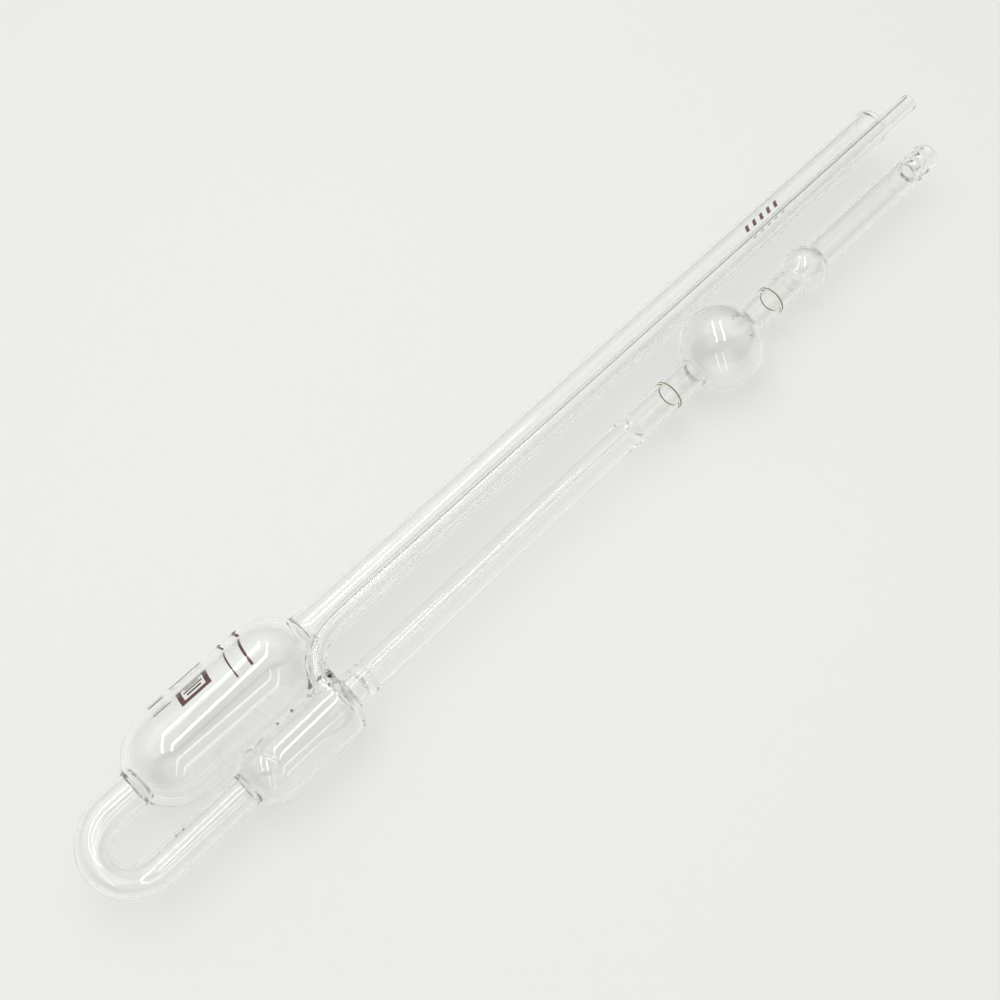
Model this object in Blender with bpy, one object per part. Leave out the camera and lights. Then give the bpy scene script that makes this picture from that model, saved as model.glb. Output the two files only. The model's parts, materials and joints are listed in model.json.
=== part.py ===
"""Suspended-level (Ubbelohde) capillary viscometer, lying on a table.

Metres, +Z up. +X runs along the tubes, from the U bend to the open mouths.
The reservoir and the timing bulb touch z = 0. The origin is the centre of the
object's footprint. Every piece is one of the glass blanks that are sealed into
the finished instrument, or one of the enamel marks fired onto it.
"""

import math

import bmesh
import bpy
from mathutils import Vector

MM = 0.001
SEAM = 0.3 * MM          # gap left between two neighbouring solids
HALF_SEAM = SEAM / 2

# Stations along the tubes, from the outer face of the U bend.
TOTAL_LENGTH = 291.6 * MM
BEND_CENTRE = 12.9 * MM
RESERVOIR_START = 20.5 * MM
FILL_TUBE_START = 68.3 * MM
FILL_TUBE_END = 283.4 * MM
LEVEL_CAP_START = 36.3 * MM
LEVEL_BODY_START = 43.2 * MM
LEVEL_DOME_END = 68.5 * MM
CAPILLARY_LENGTH = 90.0 * MM
TIMING_BULB_START = 182.4 * MM
TIMING_BULB_CENTRE = 194.0 * MM
UPPER_TUBE_START = 205.2 * MM
PRE_RUN_START = 220.2 * MM
PRE_RUN_CENTRE = 228.2 * MM
SUCTION_START = 233.4 * MM
NOZZLE_START = 272.2 * MM
NOZZLE_END = 283.0 * MM

# Radii of the glass, outside.
RESERVOIR_R = 11.4 * MM
FILL_TUBE_R = 5.17 * MM
LEVEL_R = 7.47 * MM
U_RESERVOIR_ARM_R = 4.45 * MM
U_CROWN_R = 3.6 * MM
U_LEVEL_ARM_R = 3.95 * MM
CAPILLARY_R = 3.7 * MM
TIMING_TUBE_R = 4.0 * MM
TIMING_BULB_R = 11.22 * MM
PRE_RUN_R = 6.1 * MM
SUCTION_R = 4.25 * MM
VENT_R = 2.37 * MM

# Walls and bores.
BULB_WALL = 1.0 * MM
TUBE_WALL = 0.95 * MM
VENT_BORE_R = 1.35 * MM
CAPILLARY_BORE_R = 0.45 * MM
NOZZLE_BORE_R = 2.25 * MM

# Enamel marks. Angles round the reservoir and the filling tube are in degrees, 0
# pointing to the side away from the capillary and 90 straight up.
MARK_GAP = 0.3 * MM
MARK_THICKNESS = 0.1 * MM
FILL_MARK_STATIONS = (52.8 * MM, 57.2 * MM)
FILL_MARK_WIDTHS = (0.45 * MM, 0.7 * MM)
FILL_MARK_SPAN = (-41.0, 45.0)
TIMING_MARK_STATIONS = (174.0 * MM, 214.1 * MM)
TIMING_MARK_WIDTH = 0.35 * MM
PANEL_STATIONS = (39.0 * MM, 47.6 * MM)
PANEL_SPAN = (-18.0, 23.5)
PANEL_RIM = (1.25 * MM, 6.2)
PANEL_BAR_HALF_LENGTHS = (2.0 * MM, 2.6 * MM, 2.0 * MM)
PANEL_BAR_PITCH = 8.0
PANEL_BAR_SPAN = 4.0
DATA_LINES = ((32.5 * MM, 37.4 * MM, 11.8), (32.7 * MM, 36.5 * MM, 25.8))
DATA_LINE_SPAN = 5.0
SERIAL_STATIONS = (231.2 * MM, 246.2 * MM)
SERIAL_SPAN = (-45.0, -21.0)
SERIAL_BARS = 5

# Axes of the two legs and of the vent, as (y, z): y across the table, z above it.
# Distances from the filling leg's axis come first, and Y_SHIFT centres the whole.
CAPILLARY_OFFSET = 18.38 * MM
U_ARM_OFFSET = 18.6 * MM
LEVEL_OFFSET = 19.25 * MM
VENT_OFFSET = 5.6 * MM
FAR_SIDE = RESERVOIR_R + MARK_GAP + MARK_THICKNESS
NEAR_SIDE = CAPILLARY_OFFSET + TIMING_BULB_R
Y_SHIFT = (NEAR_SIDE - FAR_SIDE) / 2
FILL_AXIS = (Y_SHIFT, RESERVOIR_R)
CAPILLARY_AXIS = (Y_SHIFT - CAPILLARY_OFFSET, TIMING_BULB_R)
U_ARM_AXIS = (Y_SHIFT - U_ARM_OFFSET, 11.1 * MM)
LEVEL_AXIS = (Y_SHIFT - LEVEL_OFFSET, 11.0 * MM)
VENT_AXIS = (Y_SHIFT - VENT_OFFSET, 17.1 * MM)

# Bulb shapes.
RESERVOIR_SHOULDER_R = 12.0 * MM
RESERVOIR_BASE_R = 5.7 * MM
LEVEL_CAP_ROUND_R = 5.6 * MM
LEVEL_DOME_ROUND_R = 3.5 * MM
LEVEL_DOME_LENGTH = 6.15 * MM
LEVEL_NECK_LENGTH = 2.0 * MM
LEVEL_NECK_R = 3.8 * MM
TIMING_BULB_HALF_LENGTH = 10.6 * MM
PRE_RUN_HALF_LENGTH = 5.9 * MM
PRE_RUN_ROOT_R = 4.6 * MM

# Hose nozzle: a waist, two round beads given as (centre, width, radius), and a
# rolled end.
NOZZLE_WAIST_R = 3.2 * MM
NOZZLE_BEADS = (
    (275.4 * MM, 2.6 * MM, 3.95 * MM),
    (278.7 * MM, 2.2 * MM, 3.8 * MM),
)
NOZZLE_ROLL = (281.9 * MM, 2.75 * MM)
NOZZLE_ROLL_R = 0.8 * MM
NOZZLE_FACE_R = 3.0 * MM

# The vent leaves the level vessel outwards and turns along X over the reservoir's
# shoulder: the four handles of that curve, as (station, y, z).
VENT_HANDLES = (
    (61.8 * MM, Y_SHIFT - 15.2 * MM, 15.4 * MM),
    (64.2 * MM, Y_SHIFT - 10.0 * MM, 20.4 * MM),
    (68.2 * MM, Y_SHIFT - 6.2 * MM, 18.5 * MM),
    (79.0 * MM, *VENT_AXIS),
)
VENT_STEPS = 12
VENT_FLARE_STEPS = 5
VENT_ROOT_R = 4.4 * MM
VENT_ROOT_BORE_R = 2.6 * MM
VENT_HOLE_R = 2.3 * MM

RESERVOIR_SIDES = 32
LEVEL_SIDES = 28
TUBE_SIDES = 20
VENT_SIDES = 16


def clear_scene():
    for old in list(bpy.data.objects):
        bpy.data.objects.remove(old, do_unlink=True)


def make_material(name, colour, roughness, transmission=0.0, alpha=1.0):
    material = bpy.data.materials.new(name)
    material.use_nodes = True
    shader = material.node_tree.nodes["Principled BSDF"]
    shader.inputs["Base Color"].default_value = (*colour, 1.0)
    shader.inputs["Roughness"].default_value = roughness
    shader.inputs["Metallic"].default_value = 0.0
    shader.inputs["IOR"].default_value = 1.47
    shader.inputs["Transmission Weight"].default_value = transmission
    shader.inputs["Alpha"].default_value = alpha
    return material


def glass(name):
    """Clear borosilicate glass, one material for each blank."""
    return make_material(name + "_glass", (0.93, 0.96, 0.95), 0.03, 1.0, 0.35)


def station(distance):
    """Distance from the U bend's outer face, as a world X."""
    return distance - TOTAL_LENGTH / 2


def ring(centre, across, up, radius, sides):
    """One circle of points round a centre, in the plane of two unit vectors."""
    points = []
    for i in range(sides):
        turn = 2 * math.pi * i / sides
        points.append(centre + radius * (math.cos(turn) * across + math.sin(turn) * up))
    return points


def shell_mesh(name, outer, inner):
    """Closed wall between an outer and an inner row of rings, open at both ends."""
    mesh = bmesh.new()
    loops = [[mesh.verts.new(point) for point in points] for points in outer + inner[::-1]]
    sides = len(loops[0])
    for index, loop in enumerate(loops):
        following = loops[(index + 1) % len(loops)]
        for i in range(sides):
            j = (i + 1) % sides
            mesh.faces.new((loop[i], following[i], following[j], loop[j]))
    bmesh.ops.recalc_face_normals(mesh, faces=mesh.faces)
    if mesh.calc_volume(signed=True) < 0:
        bmesh.ops.reverse_faces(mesh, faces=mesh.faces)
    data = bpy.data.meshes.new(name)
    mesh.to_mesh(data)
    mesh.free()
    data.shade_smooth()
    data.set_sharp_from_angle(angle=math.radians(35))
    return data


def add_object(name, data, material):
    obj = bpy.data.objects.new(name, data)
    bpy.context.scene.collection.objects.link(obj)
    data.materials.append(material)
    return obj


def turned_rings(outline, axis, sides):
    """Rings for an outline of (station, radius) pairs turned about an axis along X.

    The axis is one (y, z) pair, or a function that gives it for a station.
    """
    rows = []
    for distance, radius in outline:
        y, z = axis(distance) if callable(axis) else axis
        centre = Vector((station(distance), y, z))
        rows.append(ring(centre, Vector((0, 1, 0)), Vector((0, 0, 1)), radius, sides))
    return rows


def turned_shell(name, outer, inner, axis, sides):
    data = shell_mesh(name, turned_rings(outer, axis, sides), turned_rings(inner, axis, sides))
    return add_object(name, data, glass(name))


def straight_tube(name, start, end, radius, wall, axis, sides=TUBE_SIDES):
    outer = [(start, radius), (end, radius)]
    inner = [(start, radius - wall), (end, radius - wall)]
    return turned_shell(name, outer, inner, axis, sides)


def spread(first, last, steps):
    return [first + (last - first) * i / steps for i in range(steps + 1)]


def arc(centre, radius, first, last, steps):
    """Points (station, radius) on a round stretch, angles in degrees from +X."""
    points = []
    for degrees in spread(first, last, steps):
        turn = math.radians(degrees)
        points.append((centre[0] + radius * math.cos(turn), centre[1] + radius * math.sin(turn)))
    return points


def arc_angle(centre_r, radius, target_r):
    """Angle in degrees above the axis where an arc passes a given radius."""
    return math.degrees(math.asin((target_r - centre_r) / radius))


def build_reservoir():
    round_r = RESERVOIR_SHOULDER_R
    centre_r = RESERVOIR_R - round_r
    base = arc_angle(centre_r, round_r, RESERVOIR_BASE_R)
    neck = arc_angle(centre_r, round_r, FILL_TUBE_R)
    start = RESERVOIR_START + HALF_SEAM
    end = FILL_TUBE_START - HALF_SEAM
    low = (start + round_r * math.cos(math.radians(base)), centre_r)
    high = (end - round_r * math.cos(math.radians(neck)), centre_r)
    outer = arc(low, round_r, 180 - base, 90, 7) + arc(high, round_r, 90, neck, 7)
    inner_round = round_r - BULB_WALL
    base_in = arc_angle(centre_r, inner_round, U_RESERVOIR_ARM_R - BULB_WALL)
    neck_in = arc_angle(centre_r, inner_round, FILL_TUBE_R - TUBE_WALL)
    inner = [(start, U_RESERVOIR_ARM_R - BULB_WALL)]
    inner += arc(low, inner_round, 180 - base_in, 90, 7)
    inner += arc(high, inner_round, 90, neck_in, 7)
    inner += [(end, FILL_TUBE_R - TUBE_WALL)]
    return turned_shell("reservoir_bulb", outer, inner, FILL_AXIS, RESERVOIR_SIDES)


def drift(first, last, start, end):
    """An axis that moves evenly from one (y, z) to another between two stations."""
    def axis(distance):
        part = min(1.0, max(0.0, (distance - start) / (end - start)))
        return tuple(a + part * (b - a) for a, b in zip(first, last))
    return axis


def build_level_cap():
    """The rounded bottom of the level vessel, sealed to the U tube's arm."""
    centre_r = LEVEL_R - LEVEL_CAP_ROUND_R
    start = LEVEL_CAP_START + HALF_SEAM
    end = LEVEL_BODY_START - HALF_SEAM
    first = arc_angle(centre_r, LEVEL_CAP_ROUND_R, U_LEVEL_ARM_R)
    low = (start + LEVEL_CAP_ROUND_R * math.cos(math.radians(first)), centre_r)
    bore = U_LEVEL_ARM_R - TUBE_WALL
    inner_round = LEVEL_CAP_ROUND_R - BULB_WALL
    first_in = arc_angle(centre_r, inner_round, bore)
    outer = arc(low, LEVEL_CAP_ROUND_R, 180 - first, 90, 6) + [(end, LEVEL_R)]
    inner = [(start, bore)] + arc(low, inner_round, 180 - first_in, 90, 6)
    inner += [(end, LEVEL_R - BULB_WALL)]
    axis = drift(U_ARM_AXIS, LEVEL_AXIS, start, end)
    turned_shell("level_vessel_cap", outer, inner, axis, LEVEL_SIDES)


def level_body_outlines(grow):
    """Outer and inner outline of the domed body, with the outer one grown."""
    start = LEVEL_BODY_START + HALF_SEAM
    end = LEVEL_DOME_END - HALF_SEAM
    round_r = LEVEL_DOME_ROUND_R
    high = (end - LEVEL_DOME_LENGTH, LEVEL_R - round_r)
    bore_narrows = (end - 3.0 * MM, 1.2 * MM)
    outer = [(start, LEVEL_R + grow)]
    outer += arc(high, round_r + grow, 90, 12, 6)
    outer += [(end - LEVEL_NECK_LENGTH, LEVEL_NECK_R + grow), (end, LEVEL_NECK_R + grow)]
    inner = [(start, LEVEL_R - BULB_WALL)]
    inner += arc(high, round_r - BULB_WALL, 90, 8, 5)
    inner += [bore_narrows, (end, CAPILLARY_BORE_R)]
    return outer, inner


def level_body_axis(distance):
    """The body's own axis, then over the dome a drift onto the capillary's."""
    start = LEVEL_DOME_END - LEVEL_DOME_LENGTH
    end = LEVEL_DOME_END - LEVEL_NECK_LENGTH
    return drift(LEVEL_AXIS, CAPILLARY_AXIS, start, end)(distance)


def build_level_vessel():
    """The cylindrical body with its domed top, and the hole under the vent's root."""
    inside = 2.5 * MM
    outside = 4.0 * MM
    outer, inner = level_body_outlines(0.0)
    vessel = turned_shell("level_vessel", outer, inner, level_body_axis, LEVEL_SIDES)
    points = vent_path()
    heading = (points[1] - points[0]).normalized()
    along = Vector((1, 0, 0))
    side = heading.cross(along).normalized()
    centres = (points[0] - heading * inside, points[0] + heading * outside)
    rows = [ring(point, side.cross(heading), side, VENT_HOLE_R, VENT_SIDES) for point in centres]
    cut(vessel, solid_object("vent_hole_cutter", rows))


def vent_path():
    """Centre line of the vent: one smooth curve out of the vessel, then a straight run."""
    handles = [Vector((station(s), y, z)) for s, y, z in VENT_HANDLES]
    points = []
    for i in range(VENT_STEPS + 1):
        t = i / VENT_STEPS
        weights = ((1 - t) ** 3, 3 * t * (1 - t) ** 2, 3 * t * t * (1 - t), t ** 3)
        points.append(sum((w * p for w, p in zip(weights, handles)), Vector()))
    points.append(Vector((station(TOTAL_LENGTH), *VENT_AXIS)))
    return points


def swept_rings(points, side, radii, sides):
    """Rings square to a path, turned as little as possible from one to the next."""
    rows = []
    for i, point in enumerate(points):
        before = points[max(0, i - 1)]
        after = points[min(len(points) - 1, i + 1)]
        heading = (after - before).normalized()
        side = (side - heading * side.dot(heading)).normalized()
        rows.append(ring(point, side, heading.cross(side), radii[i], sides))
    return rows


def build_vent():
    points = vent_path()
    flare = [max(0.0, 1.0 - i / VENT_FLARE_STEPS) ** 2 for i in range(len(points))]
    outer_radii = [VENT_R + (VENT_ROOT_R - VENT_R) * part for part in flare]
    inner_radii = [VENT_BORE_R + (VENT_ROOT_BORE_R - VENT_BORE_R) * part for part in flare]
    side = Vector((0, 1, -1))
    outer = swept_rings(points, side, outer_radii, VENT_SIDES)
    inner = swept_rings(points, side, inner_radii, VENT_SIDES)
    data = shell_mesh("vent_tube", outer, inner)
    vent = add_object("vent_tube", data, glass("vent_tube"))
    outline = level_body_outlines(SEAM)[0]
    rows = turned_rings(outline, level_body_axis, 3 * LEVEL_SIDES)
    cut(vent, solid_object("vent_root_cutter", rows))


def solid_object(name, rows):
    """A plain closed solid through rows of rings, used only as a cutter."""
    mesh = bmesh.new()
    loops = [[mesh.verts.new(point) for point in points] for points in rows]
    sides = len(loops[0])
    for loop, following in zip(loops, loops[1:]):
        for i in range(sides):
            j = (i + 1) % sides
            mesh.faces.new((loop[i], following[i], following[j], loop[j]))
    mesh.faces.new(loops[0])
    mesh.faces.new(loops[-1][::-1])
    bmesh.ops.recalc_face_normals(mesh, faces=mesh.faces)
    data = bpy.data.meshes.new(name)
    mesh.to_mesh(data)
    mesh.free()
    cutter = bpy.data.objects.new(name, data)
    bpy.context.scene.collection.objects.link(cutter)
    cutter.hide_render = True
    cutter.display_type = "WIRE"
    return cutter


def cut(target, cutter):
    boolean = target.modifiers.new("cut_" + cutter.name, "BOOLEAN")
    boolean.operation = "DIFFERENCE"
    boolean.solver = "EXACT"
    boolean.object = cutter


def build_u_tube():
    """Two arms of unlike bore joined by a half-round bend."""
    reservoir_arm = Vector((0, *FILL_AXIS))
    level_arm = Vector((0, *U_ARM_AXIS))
    middle = (reservoir_arm + level_arm) / 2 + Vector((station(BEND_CENTRE), 0, 0))
    across = (reservoir_arm - level_arm) / 2
    bend_r = across.length
    across.normalize()
    along = Vector((1, 0, 0))
    start = RESERVOIR_START - HALF_SEAM
    end = LEVEL_CAP_START - HALF_SEAM
    flare = ((0.0, RESERVOIR_BASE_R), (0.6 * MM, 5.15 * MM), (1.8 * MM, U_RESERVOIR_ARM_R))
    points = [reservoir_arm + along * station(start - back) for back, _ in flare]
    radii = [radius for _, radius in flare]
    steps = 12
    for i in range(steps + 1):
        turn = math.pi * i / steps
        points.append(middle + bend_r * (math.cos(turn) * across - math.sin(turn) * along))
        ends = U_RESERVOIR_ARM_R if i < steps / 2 else U_LEVEL_ARM_R
        radii.append(ends + (U_CROWN_R - ends) * math.sin(turn))
    points.append(level_arm + along * station(end))
    radii.append(U_LEVEL_ARM_R)
    bores = [min(radius - TUBE_WALL, U_RESERVOIR_ARM_R - BULB_WALL) for radius in radii]
    side = along.cross(across)
    outer = swept_rings(points, side, radii, TUBE_SIDES)
    inner = swept_rings(points, side, bores, TUBE_SIDES)
    name = "connecting_u_tube"
    add_object(name, shell_mesh(name, outer, inner), glass(name))


def build_lower_timing_tube():
    """Its bore opens from the capillary's as a funnel."""
    start = LEVEL_DOME_END + CAPILLARY_LENGTH + HALF_SEAM
    end = TIMING_BULB_START - HALF_SEAM
    swell = 1.6 * MM
    funnel = 3.2 * MM
    bore = TIMING_TUBE_R - TUBE_WALL
    outer = [(start, CAPILLARY_R), (start + swell, TIMING_TUBE_R), (end, TIMING_TUBE_R)]
    inner = [(start, CAPILLARY_BORE_R), (start + funnel, bore), (end, bore)]
    turned_shell("lower_timing_tube", outer, inner, CAPILLARY_AXIS, TUBE_SIDES)


def oval(middle, half_length, half_width, neck_r, part):
    """A point on an oval outline, from one neck (part 0) round to the other (part 1)."""
    limit = math.acos(neck_r / half_width)
    turn = limit * (2 * part - 1)
    return (middle + half_length * math.sin(turn), half_width * math.cos(turn))


def build_timing_bulb():
    """Slightly shorter than it is wide, with an even wall between two necks."""
    start = TIMING_BULB_START + HALF_SEAM
    end = UPPER_TUBE_START - HALF_SEAM
    bore = TIMING_TUBE_R - TUBE_WALL
    inner_half = TIMING_BULB_HALF_LENGTH - BULB_WALL
    inner_r = TIMING_BULB_R - BULB_WALL
    outer = [(start, TIMING_TUBE_R)]
    inner = [(start, bore)]
    for part in spread(0.0, 1.0, 12):
        outer.append(oval(TIMING_BULB_CENTRE, TIMING_BULB_HALF_LENGTH, TIMING_BULB_R, TIMING_TUBE_R, part))
        inner.append(oval(TIMING_BULB_CENTRE, inner_half, inner_r, bore, part))
    outer.append((end, TIMING_TUBE_R))
    inner.append((end, bore))
    turned_shell("timing_bulb", outer, inner, CAPILLARY_AXIS, LEVEL_SIDES)


def build_pre_run_bulb():
    """Swells slowly from the timing tube, and closes bluntly onto the suction tube."""
    start = PRE_RUN_START + HALF_SEAM
    end = SUCTION_START - HALF_SEAM
    root_turn = math.acos(PRE_RUN_ROOT_R / PRE_RUN_R)
    end_turn = math.acos(SUCTION_R / PRE_RUN_R)
    first = 0.5 - 0.5 * root_turn / end_turn
    outer = [(start, TIMING_TUBE_R)]
    for part in spread(first, 1.0, 8):
        outer.append(oval(PRE_RUN_CENTRE, PRE_RUN_HALF_LENGTH, PRE_RUN_R, SUCTION_R, part))
    outer.append((end, SUCTION_R))
    inner = [(distance, radius - TUBE_WALL) for distance, radius in outer]
    turned_shell("pre_run_bulb", outer, inner, CAPILLARY_AXIS, TUBE_SIDES)


def build_nozzle():
    start = NOZZLE_START + HALF_SEAM
    taper = 0.8 * MM
    bore_taper = 1.2 * MM
    outer = [(start, SUCTION_R), (start + taper, NOZZLE_WAIST_R)]
    for middle, width, bead_r in NOZZLE_BEADS:
        for turn in spread(0.0, math.pi, 6):
            rise = (bead_r - NOZZLE_WAIST_R) * math.sin(turn)
            outer.append((middle - width / 2 * math.cos(turn), NOZZLE_WAIST_R + rise))
    roll_start = NOZZLE_ROLL[0] - 1.3 * MM
    outer.append((roll_start, NOZZLE_WAIST_R))
    outer += arc(NOZZLE_ROLL, NOZZLE_ROLL_R, 120, 30, 3)
    outer.append((NOZZLE_END, NOZZLE_FACE_R))
    inner = [(start, SUCTION_R - TUBE_WALL), (start + bore_taper, NOZZLE_BORE_R)]
    inner.append((NOZZLE_END, NOZZLE_BORE_R))
    turned_shell("hose_nozzle", outer, inner, CAPILLARY_AXIS, TUBE_SIDES)


def build_straight_tubes():
    straight_tube(
        "filling_tube", FILL_TUBE_START + HALF_SEAM, FILL_TUBE_END,
        FILL_TUBE_R, TUBE_WALL, FILL_AXIS,
    )
    capillary_start = LEVEL_DOME_END + HALF_SEAM
    straight_tube(
        "capillary_tube", capillary_start, LEVEL_DOME_END + CAPILLARY_LENGTH - HALF_SEAM,
        CAPILLARY_R, CAPILLARY_R - CAPILLARY_BORE_R, CAPILLARY_AXIS,
    )
    straight_tube(
        "upper_timing_tube", UPPER_TUBE_START + HALF_SEAM, PRE_RUN_START - HALF_SEAM,
        TIMING_TUBE_R, TUBE_WALL, CAPILLARY_AXIS,
    )
    straight_tube(
        "suction_tube", SUCTION_START + HALF_SEAM, NOZZLE_START - HALF_SEAM,
        SUCTION_R, TUBE_WALL, CAPILLARY_AXIS,
    )


def enamel(name, material, glass_r, stations, turns, left_out=()):
    """A thin curved slab just outside a tube on the filling axis.

    It is a grid of cells between the stations and the angles in degrees, without
    the cells (column, row) that are left out.
    """
    y, z = FILL_AXIS
    mesh = bmesh.new()
    columns = len(stations) - 1
    rows = len(turns) - 1
    corners = {}
    for i, distance in enumerate(stations):
        for j, turn in enumerate(turns):
            out = Vector((0, math.cos(math.radians(turn)), math.sin(math.radians(turn))))
            foot = Vector((station(distance), y, z))
            for level, height in enumerate((MARK_GAP, MARK_GAP + MARK_THICKNESS)):
                corners[i, j, level] = mesh.verts.new(foot + out * (glass_r + height))
    kept = {(i, j) for i in range(columns) for j in range(rows)} - set(left_out)
    for i, j in sorted(kept):
        around = ((i, j), (i + 1, j), (i + 1, j + 1), (i, j + 1))
        beyond = ((i, j - 1), (i + 1, j), (i, j + 1), (i - 1, j))
        for level in (0, 1):
            mesh.faces.new([corners[c, r, level] for c, r in around])
        for k in range(4):
            if beyond[k] not in kept:
                first, second = around[k], around[(k + 1) % 4]
                mesh.faces.new((corners[*first, 0], corners[*second, 0],
                                corners[*second, 1], corners[*first, 1]))
    bmesh.ops.delete(mesh, geom=[v for v in mesh.verts if not v.link_faces], context="VERTS")
    bmesh.ops.recalc_face_normals(mesh, faces=mesh.faces)
    data = bpy.data.meshes.new(name)
    mesh.to_mesh(data)
    mesh.free()
    return add_object(name, data, material)


def ring_mark(name, material, distance, radius):
    """A timing mark that runs right round its tube."""
    outer_r = radius + MARK_GAP + MARK_THICKNESS
    inner_r = radius + MARK_GAP
    low = distance - TIMING_MARK_WIDTH / 2
    high = distance + TIMING_MARK_WIDTH / 2
    outer = turned_rings([(low, outer_r), (high, outer_r)], CAPILLARY_AXIS, TUBE_SIDES)
    inner = turned_rings([(low, inner_r), (high, inner_r)], CAPILLARY_AXIS, TUBE_SIDES)
    return add_object(name, shell_mesh(name, outer, inner), material)


def build_panel(material):
    """A plain frame with three bars in it."""
    start, end = PANEL_STATIONS
    low, high = PANEL_SPAN
    rim, rim_span = PANEL_RIM
    columns = (start, start + rim, end - rim, end)
    rows = [low] + spread(low + rim_span, high - rim_span, 5) + [high]
    opening = [(1, j) for j in range(1, 6)]
    enamel("panel_frame", material, RESERVOIR_R, columns, rows, opening)
    middle = (start + end) / 2
    lowest = (low + high) / 2 - PANEL_BAR_PITCH - PANEL_BAR_SPAN / 2
    for i, half in enumerate(PANEL_BAR_HALF_LENGTHS):
        first = lowest + PANEL_BAR_PITCH * i
        turns = (first, first + PANEL_BAR_SPAN)
        enamel(f"panel_bar_{i + 1}", material, RESERVOIR_R, (middle - half, middle + half), turns)


def build_serial_bars(material):
    """A row of plain bars, each as wide as two thirds of the gap after it."""
    start, end = SERIAL_STATIONS
    pitch = (end - start) / SERIAL_BARS
    width = 0.4 * pitch
    for i in range(SERIAL_BARS):
        first = start + pitch * i + (pitch - width) / 2
        columns = (first, first + width)
        enamel(f"serial_bar_{i + 1}", material, FILL_TUBE_R, columns, spread(*SERIAL_SPAN, 2))


def build_marks():
    red = make_material("red_enamel", (0.22, 0.03, 0.03), 0.45)
    brown = make_material("brown_stain", (0.35, 0.2, 0.06), 0.4)
    names = ("lower_fill_mark", "upper_fill_mark")
    for name, distance, width in zip(names, FILL_MARK_STATIONS, FILL_MARK_WIDTHS):
        columns = (distance - width / 2, distance + width / 2)
        enamel(name, red, RESERVOIR_R, columns, spread(*FILL_MARK_SPAN, 9))
    build_panel(red)
    for i, (start, end, turn) in enumerate(DATA_LINES):
        turns = (turn, turn + DATA_LINE_SPAN)
        enamel(f"data_line_{i + 1}", red, RESERVOIR_R, (start, end), turns)
    build_serial_bars(red)
    names = ("lower_timing_mark", "upper_timing_mark")
    for name, distance in zip(names, TIMING_MARK_STATIONS):
        ring_mark(name, brown, distance, TIMING_TUBE_R)


def main():
    clear_scene()
    build_u_tube()
    build_reservoir()
    build_level_cap()
    build_level_vessel()
    build_straight_tubes()
    build_lower_timing_tube()
    build_timing_bulb()
    build_pre_run_bulb()
    build_nozzle()
    build_vent()
    build_marks()


main()
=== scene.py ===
"""Looks of a suspended-level capillary viscometer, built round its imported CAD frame.

Metres, +Z up, +X along the tubes from the U bend to the open mouths. Each piece is one
glass blank, turned or swept as a wall between an outer and an inner outline, or one
fired mark. Blanks meet on shared rings, so light passes from one to the next as it
does in fused glass.
"""

import json
import math

import bmesh
import bpy
import numpy as np
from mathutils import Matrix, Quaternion, Vector

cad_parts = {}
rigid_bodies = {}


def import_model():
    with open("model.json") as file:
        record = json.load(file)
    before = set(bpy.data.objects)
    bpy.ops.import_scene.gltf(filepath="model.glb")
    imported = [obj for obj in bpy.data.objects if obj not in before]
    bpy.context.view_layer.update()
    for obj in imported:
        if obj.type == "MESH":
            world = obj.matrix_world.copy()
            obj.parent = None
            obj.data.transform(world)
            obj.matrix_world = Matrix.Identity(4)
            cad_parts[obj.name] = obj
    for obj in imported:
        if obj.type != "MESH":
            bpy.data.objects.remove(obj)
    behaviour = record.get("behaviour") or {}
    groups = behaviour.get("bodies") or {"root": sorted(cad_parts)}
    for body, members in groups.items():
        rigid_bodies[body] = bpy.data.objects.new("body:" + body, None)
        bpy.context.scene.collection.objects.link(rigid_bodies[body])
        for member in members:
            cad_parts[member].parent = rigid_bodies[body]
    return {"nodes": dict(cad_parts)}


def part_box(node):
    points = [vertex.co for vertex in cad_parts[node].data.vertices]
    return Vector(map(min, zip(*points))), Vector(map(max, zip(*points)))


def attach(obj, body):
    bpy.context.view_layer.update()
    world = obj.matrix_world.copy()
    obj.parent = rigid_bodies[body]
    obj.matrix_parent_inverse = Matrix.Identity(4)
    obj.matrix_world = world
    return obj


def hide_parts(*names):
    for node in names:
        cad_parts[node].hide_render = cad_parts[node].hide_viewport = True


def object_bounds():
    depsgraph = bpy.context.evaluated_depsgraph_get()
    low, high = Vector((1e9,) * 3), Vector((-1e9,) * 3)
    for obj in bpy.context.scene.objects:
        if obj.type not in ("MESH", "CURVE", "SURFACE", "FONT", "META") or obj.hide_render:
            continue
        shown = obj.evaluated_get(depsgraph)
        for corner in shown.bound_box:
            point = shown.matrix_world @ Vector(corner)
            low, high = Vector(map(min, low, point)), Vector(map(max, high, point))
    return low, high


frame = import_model()
cad_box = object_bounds()

MM = 0.001
SIDES = 96                  # round each turned piece
STEP = 0.35 * MM            # along each outline
FINE = 0.005 * MM           # spacing at which outlines are measured
WELD = 0.002 * MM           # points nearer than this are one
BEYOND = 1.0                # an X past either end of the part
SEAL_SLOT = 1               # material slot of the faces between two blanks; glass is 0
RIM_NORMAL = "rim_normal"

# How rings are spread along a blank: an outline steeper than BENT counts as curved, and one
# steeper than LIP_STEEP near a mouth is the round of its lip.
BENT = 0.002
BENT_REACH = 1.0 * MM       # to either side of a curve the rings are as close as on it
LIP_STEEP = 1.0
LIP_REACH = 0.7 * MM        # back from the mouth
LIP_CLOSENESS = 2.5         # how much closer the rings are there

# Walls.
RESERVOIR_WALL = 1.8 * MM
BULB_WALL = 1.0 * MM
BLOWN_WALL = 0.8 * MM
TUBE_WALL = 0.95 * MM
BORE_R = 0.45 * MM
NECK_BORE_R = 2.6 * MM
NOZZLE_BORE_R = 2.25 * MM
NOZZLE_WAIST_R = 3.2 * MM

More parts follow.
